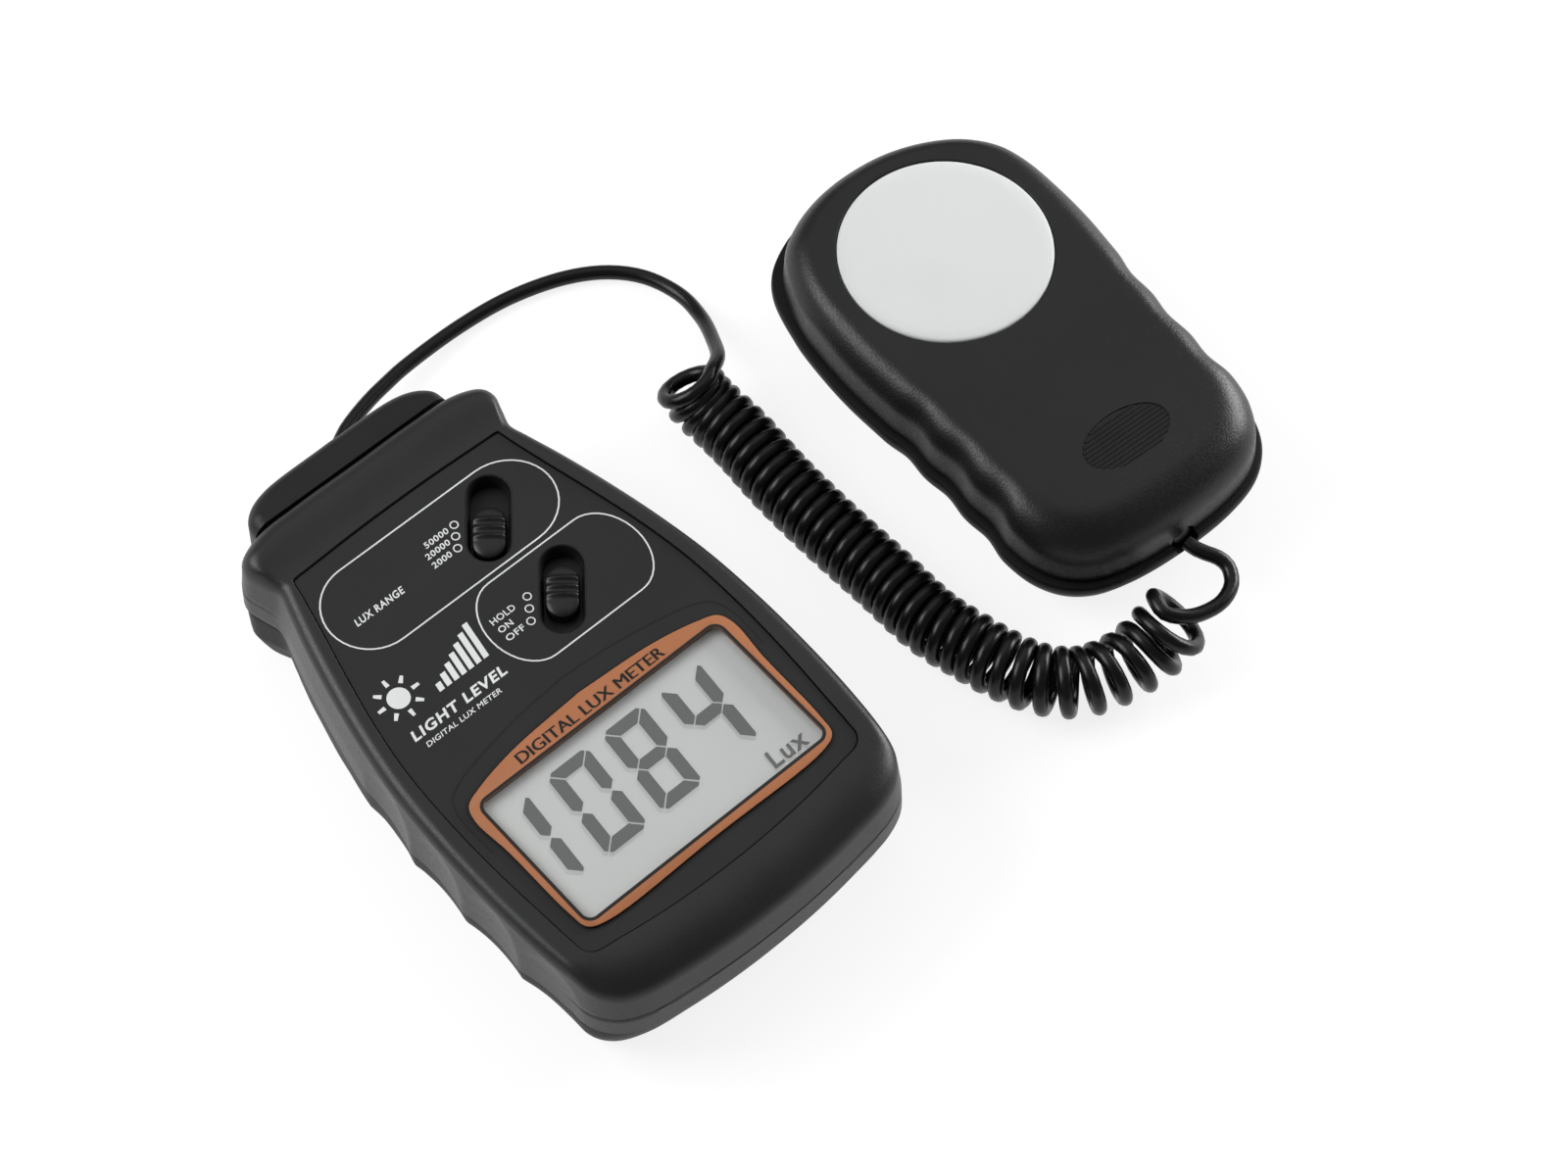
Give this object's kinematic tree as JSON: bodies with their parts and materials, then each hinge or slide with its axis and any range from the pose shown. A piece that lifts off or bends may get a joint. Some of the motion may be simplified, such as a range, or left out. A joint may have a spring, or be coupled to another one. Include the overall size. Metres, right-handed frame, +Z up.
{
  "type": "handheld light meter",
  "caption": "Handheld digital light meter with a round diffuser sensor head on a curly cord, an LCD window, slide switches and a sliding battery cover.",
  "frame": {"origin": "under the middle of the meter body, on the flat back it rests on", "axes": "+Z up, out of the display face; +Y along the meter from its foot end to the crown end the cord leaves; +X across the meter towards the sensor head lying beside it"},
  "size_m": [0.1693, 0.1388, 0.0293],
  "materials": {
    "case_black": "fine textured moulded plastic",
    "panel_black": "satin printed label",
    "bezel_orange": "satin print",
    "clear": "clear",
    "lcd_grey": "satin liquid crystal panel",
    "white_plastic": "satin",
    "board_green": "glass fibre board with solder resist",
    "chip_black": "moulded epoxy",
    "steel": "zinc plated",
    "elastomer": "silicone rubber",
    "battery_blue": "wrapped steel can",
    "foam": "open foam",
    "rubber_black": "smooth cord jacket",
    "wire_red": "wire insulation",
    "filter_green": "coloured filter glass",
    "silicon_blue": "smooth"
  },
  "bodies": {
    "meter": {"front_case": "case_black", "rear_case": "case_black", "crown_cap": "case_black", "cord_grommet": "rubber_black", "face_panel": "panel_black", "display_bezel": "bezel_orange", "display_window": "clear", "lcd_panel": "lcd_grey", "lcd_holder": "white_plastic", "zebra_strip_upper": "elastomer", "zebra_strip_lower": "elastomer", "range_switch": "steel", "power_switch": "steel", "main_board": "board_green", "board_screw_1": "steel", "board_screw_2": "steel", "board_screw_3": "steel", "board_screw_4": "steel", "converter_chip": "chip_black", "trim_pot_1": "silicon_blue", "trim_pot_2": "silicon_blue", "filter_capacitor": "chip_black", "battery": "battery_blue", "battery_snap": "chip_black", "foam_pad": "foam", "battery_lead_plus": "wire_red", "battery_lead_minus": "chip_black", "case_screw_1": "steel", "case_screw_2": "steel", "case_screw_3": "steel", "case_screw_4": "steel", "cord_lead": "rubber_black", "cord_coil": "rubber_black"},
    "range_slide": {"range_knob": "case_black"},
    "power_slide": {"power_knob": "case_black"},
    "cover": {"battery_cover": "case_black"},
    "sensor": {"sensor_upper_shell": "case_black", "sensor_lower_shell": "case_black", "diffuser_disc": "white_plastic", "diffuser_seat": "chip_black", "sensor_board": "board_green", "photodiode": "silicon_blue", "colour_filter": "filter_green", "filter_holder": "chip_black", "signal_connector": "white_plastic", "sensor_screw_1": "steel", "sensor_screw_2": "steel", "sensor_screw_3": "steel", "sensor_screw_4": "steel", "sensor_grommet": "rubber_black", "cord_tail": "rubber_black"}
  },
  "joints": [
    {"name": "range_select", "type": "slide", "parent": "meter", "child": "range_slide", "axis": [0.6293, 0.7771, 0], "range_m": [0, 0.0046]},
    {"name": "power_select", "type": "slide", "parent": "meter", "child": "power_slide", "axis": [0.6293, 0.7771, 0], "range_m": [-0.0023, 0.0023]},
    {"name": "cover_slide", "type": "slide", "parent": "meter", "child": "cover", "axis": [0, -1, 0], "range_m": [0, 0.05]},
    {"name": "sensor_reach", "type": "slide", "parent": "meter", "child": "sensor", "axis": [1, 0, 0], "range_m": [0, 0.1]}
  ]
}
